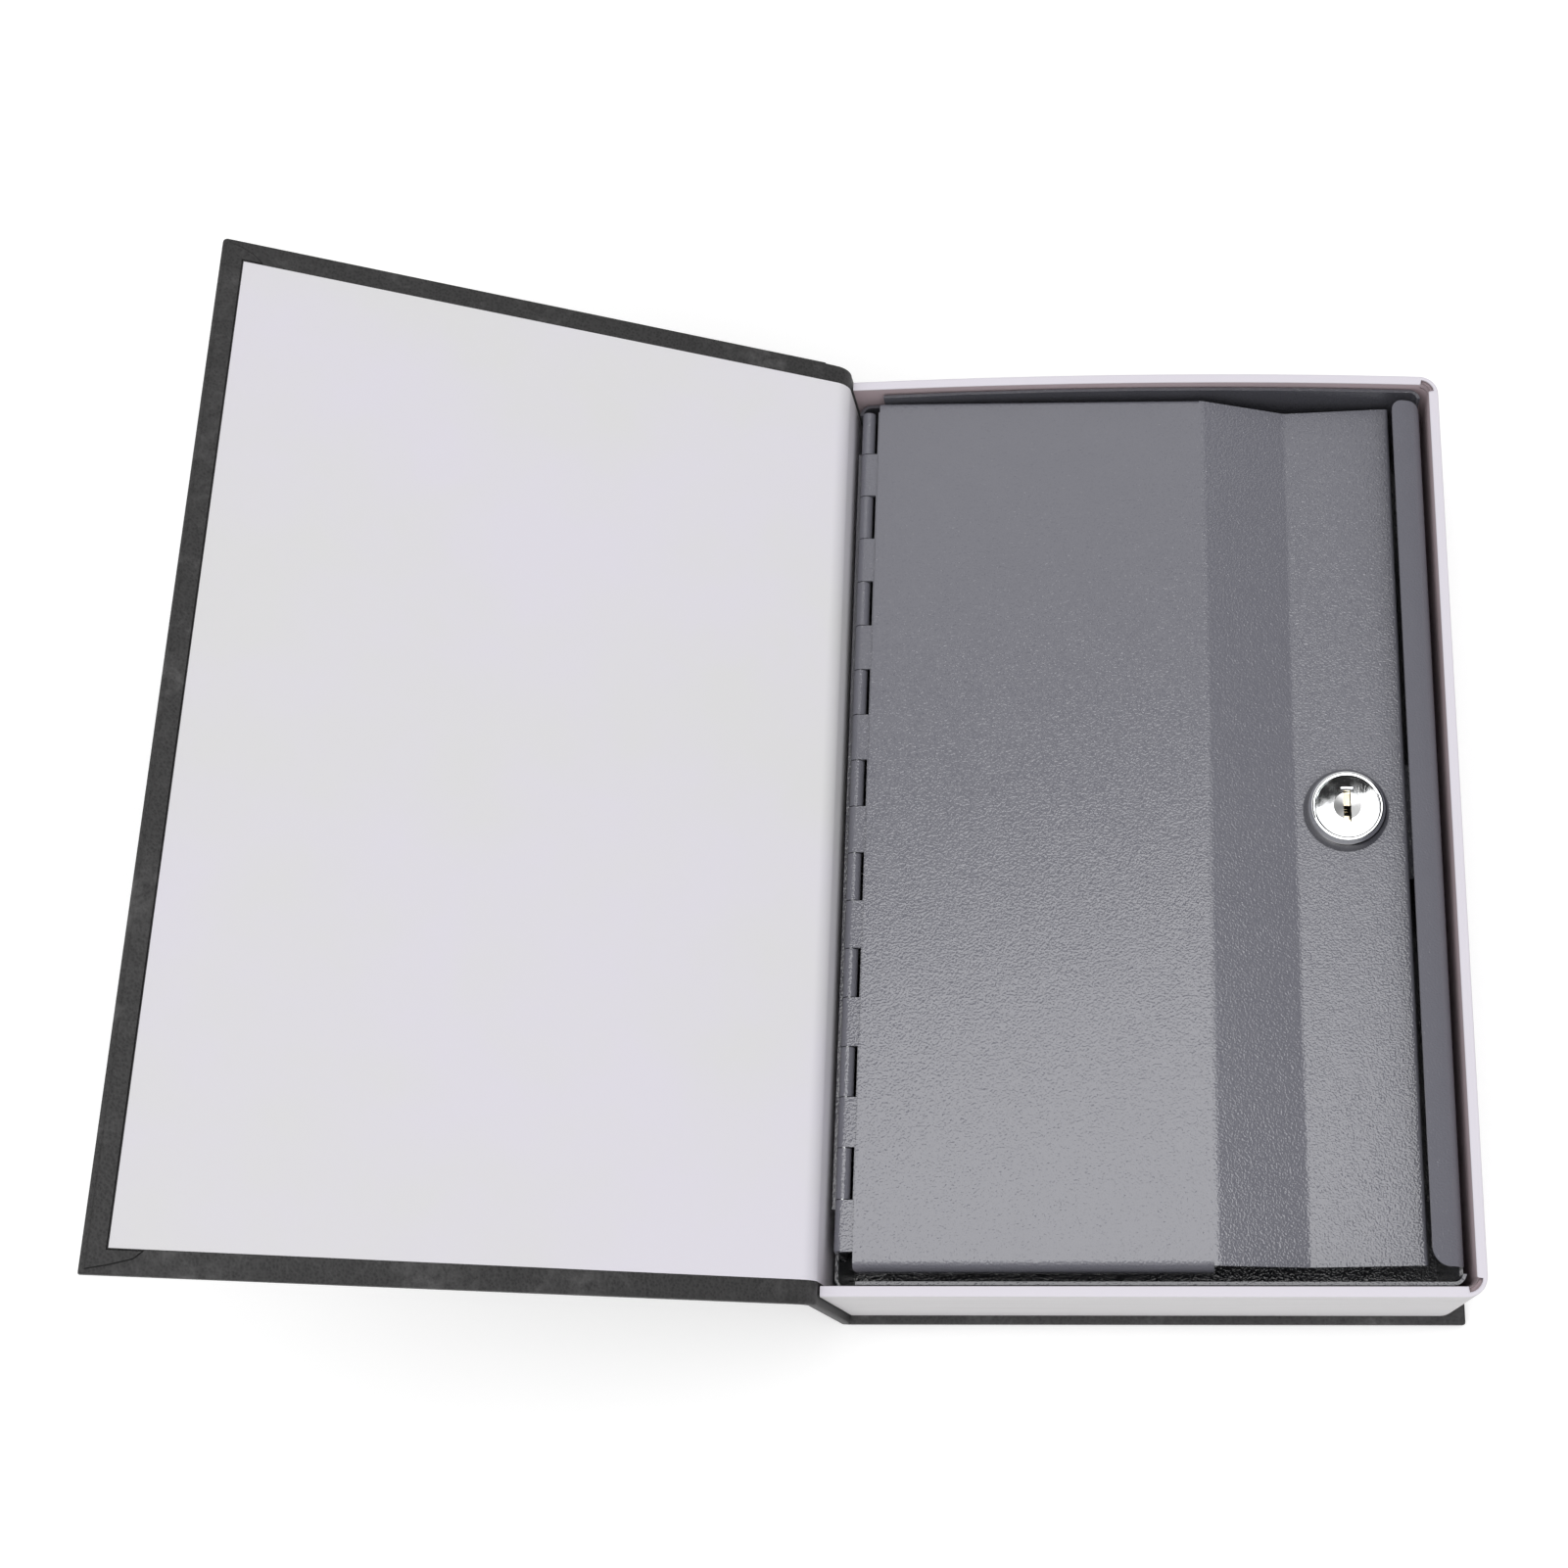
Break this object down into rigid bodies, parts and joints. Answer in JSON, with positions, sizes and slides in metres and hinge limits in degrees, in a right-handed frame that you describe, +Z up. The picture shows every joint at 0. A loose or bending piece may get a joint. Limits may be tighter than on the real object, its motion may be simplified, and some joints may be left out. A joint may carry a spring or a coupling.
{
  "type": "book diversion safe",
  "caption": "Cloth-bound dummy book, front cover open, hiding a steel cash box with a hinged, keyed lid inside a card frame that imitates the page edges.",
  "frame": {"origin": "on the underside of the back cover, below the middle of the book's length and about the middle of its width", "axes": "+X from the spine to the fore edge, +Y from the tail to the head, +Z up through the book's thickness"},
  "size_m": [0.2972, 0.24, 0.1236],
  "materials": {
    "cover_cloth": "charcoal leather-grained covering, matt",
    "greyboard": "raw solid greyboard",
    "endpaper": "smooth white paper, matt",
    "page_card": "printed card with fine page lines",
    "adhesive": "tacky sheet",
    "painted_steel": "grey powder coat, glossy, orange peel",
    "plain_steel": "zinc plated",
    "chrome": "bright chrome plate",
    "brass": "stamped brass"
  },
  "bodies": {
    "case": {"back_board": "greyboard", "spine_board": "greyboard", "case_wrap": "cover_cloth", "box_adhesive": "adhesive", "front_joint_cloth": "cover_cloth", "front_joint_lining": "endpaper", "page_frame": "page_card", "steel_box": "painted_steel", "strike_bracket": "painted_steel", "box_hinge_leaf": "painted_steel", "hinge_pin": "plain_steel"},
    "front_cover": {"front_board": "greyboard", "front_cover_wrap": "cover_cloth", "front_endpaper": "endpaper"},
    "lid": {"lid_plate": "painted_steel", "lid_hinge_leaf": "painted_steel", "lock_housing": "chrome", "lock_nut": "plain_steel"},
    "lock": {"lock_plug": "chrome", "lock_cam": "plain_steel", "cam_washer": "plain_steel", "cam_screw": "plain_steel", "wafer_spring_1": "plain_steel", "wafer_spring_2": "plain_steel", "wafer_spring_3": "plain_steel", "wafer_spring_4": "plain_steel", "wafer_spring_5": "plain_steel"},
    "wafer_body_1": {"wafer_1": "brass"},
    "wafer_body_2": {"wafer_2": "brass"},
    "wafer_body_3": {"wafer_3": "brass"},
    "wafer_body_4": {"wafer_4": "brass"},
    "wafer_body_5": {"wafer_5": "brass"}
  },
  "joints": [
    {"name": "front_cover_hinge", "type": "hinge", "parent": "case", "child": "front_cover", "pos_m": [-0.0785, 0, 0.0547], "axis": [0, -1, 0], "range_deg": [-154.6, 45], "deforming": ["front_joint_cloth", "front_joint_lining"]},
    {"name": "lid_hinge", "type": "hinge", "parent": "case", "child": "lid", "pos_m": [-0.0737, 0, 0.04545], "axis": [0, -1, 0], "range_deg": [0, 100]},
    {"name": "lock_turn", "type": "hinge", "parent": "lid", "child": "lock", "pos_m": [0.04865, 0.0014, 0.04], "axis": [0, 0, -1], "range_deg": [0, 90]},
    {"name": "wafer_1_slide", "type": "slide", "parent": "lock", "child": "wafer_body_1", "axis": [0, -1, 0], "range_m": [-0.0006, 0], "stiffness_N_per_m": 60, "springref_m": -0.0016, "deforming": ["wafer_spring_1"]},
    {"name": "wafer_2_slide", "type": "slide", "parent": "lock", "child": "wafer_body_2", "axis": [0, -1, 0], "range_m": [-0.0006, 0], "stiffness_N_per_m": 60, "springref_m": -0.0016, "deforming": ["wafer_spring_2"]},
    {"name": "wafer_3_slide", "type": "slide", "parent": "lock", "child": "wafer_body_3", "axis": [0, -1, 0], "range_m": [-0.0006, 0], "stiffness_N_per_m": 60, "springref_m": -0.0016, "deforming": ["wafer_spring_3"]},
    {"name": "wafer_4_slide", "type": "slide", "parent": "lock", "child": "wafer_body_4", "axis": [0, -1, 0], "range_m": [-0.0006, 0], "stiffness_N_per_m": 60, "springref_m": -0.0016, "deforming": ["wafer_spring_4"]},
    {"name": "wafer_5_slide", "type": "slide", "parent": "lock", "child": "wafer_body_5", "axis": [0, -1, 0], "range_m": [-0.0006, 0], "stiffness_N_per_m": 60, "springref_m": -0.0016, "deforming": ["wafer_spring_5"]}
  ]
}
